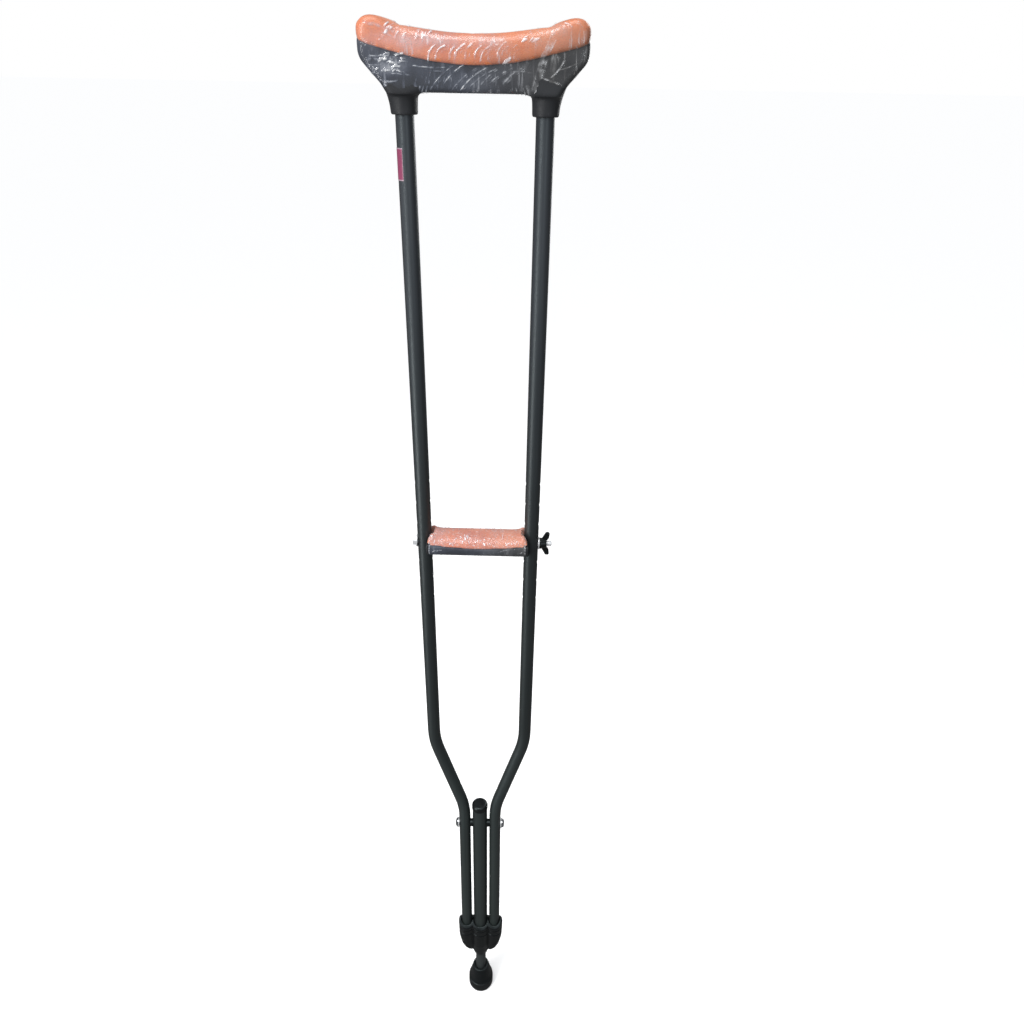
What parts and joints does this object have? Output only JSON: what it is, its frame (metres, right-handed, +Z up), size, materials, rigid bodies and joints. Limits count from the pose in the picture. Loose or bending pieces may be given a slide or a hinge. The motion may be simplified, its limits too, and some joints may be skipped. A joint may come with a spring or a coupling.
{
  "type": "underarm crutch",
  "caption": "Adjustable underarm crutch: bent side tubes, padded underarm saddle, cushioned hand grip on a bolt with wing nut, telescoping leg with snap button and flared rubber tip.",
  "frame": {"origin": "centre of the rubber tip's base, on the floor plane", "axes": "+Z up the crutch, +X towards the wing nut, -Y towards the face the user sees"},
  "size_m": [0.1868, 0.045, 1.377],
  "materials": {
    "tube_paint": "satin",
    "black_plastic": "matte",
    "pad_foam": "matte",
    "grip_foam": "matte",
    "zinc_steel": "satin",
    "chrome_steel": "polished",
    "tip_rubber": "matte",
    "label_paper": "gloss",
    "spring_steel": "satin"
  },
  "bodies": {
    "frame": {"side_tube_left": "tube_paint", "side_tube_right": "tube_paint", "centre_tube": "tube_paint", "centre_tube_cap": "black_plastic", "underarm_housing": "black_plastic", "underarm_pad": "pad_foam", "bottom_bracket": "black_plastic", "lower_bolt": "chrome_steel", "lower_bolt_cap_nut": "chrome_steel", "lower_bolt_washers": "zinc_steel", "lower_bolt_spacers": "black_plastic", "size_label": "label_paper"},
    "grip": {"grip_core": "black_plastic", "grip_cushion": "grip_foam", "grip_bolt": "zinc_steel", "grip_bolt_washer": "zinc_steel"},
    "nut_washer": {"wing_nut_washer": "zinc_steel"},
    "wing_nut": {"wing_nut": "black_plastic"},
    "leg": {"leg_tube": "tube_paint", "rubber_tip": "tip_rubber", "tip_insert_disc": "spring_steel", "button_clip_spring": "spring_steel"},
    "button": {"snap_button": "zinc_steel"}
  },
  "joints": [
    {"name": "leg_extension", "type": "slide", "parent": "frame", "child": "leg", "axis": [0, 0, -1], "range_m": [0, 0.15]},
    {"name": "grip_height", "type": "slide", "parent": "frame", "child": "grip", "axis": [0, 0, 1], "range_m": [-0.075, 0.075]},
    {"name": "wing_nut_travel", "type": "slide", "parent": "grip", "child": "nut_washer", "axis": [1, 0, 0], "range_m": [0, 0.01]},
    {"name": "wing_nut_spin", "type": "hinge", "parent": "nut_washer", "child": "wing_nut", "pos_m": [0.0688, 0, 0.88], "axis": [1, 0, 0], "range_deg": [0, 3600]},
    {"name": "button_press", "type": "slide", "parent": "leg", "child": "button", "axis": [0, -1, 0], "range_m": [0, 0.0036], "stiffness_N_per_m": 2500, "deforming": ["button_clip_spring"]}
  ],
  "couplings": [
    {"joint": "wing_nut_spin", "follows": "wing_nut_travel", "rad_per_m": 6280}
  ]
}
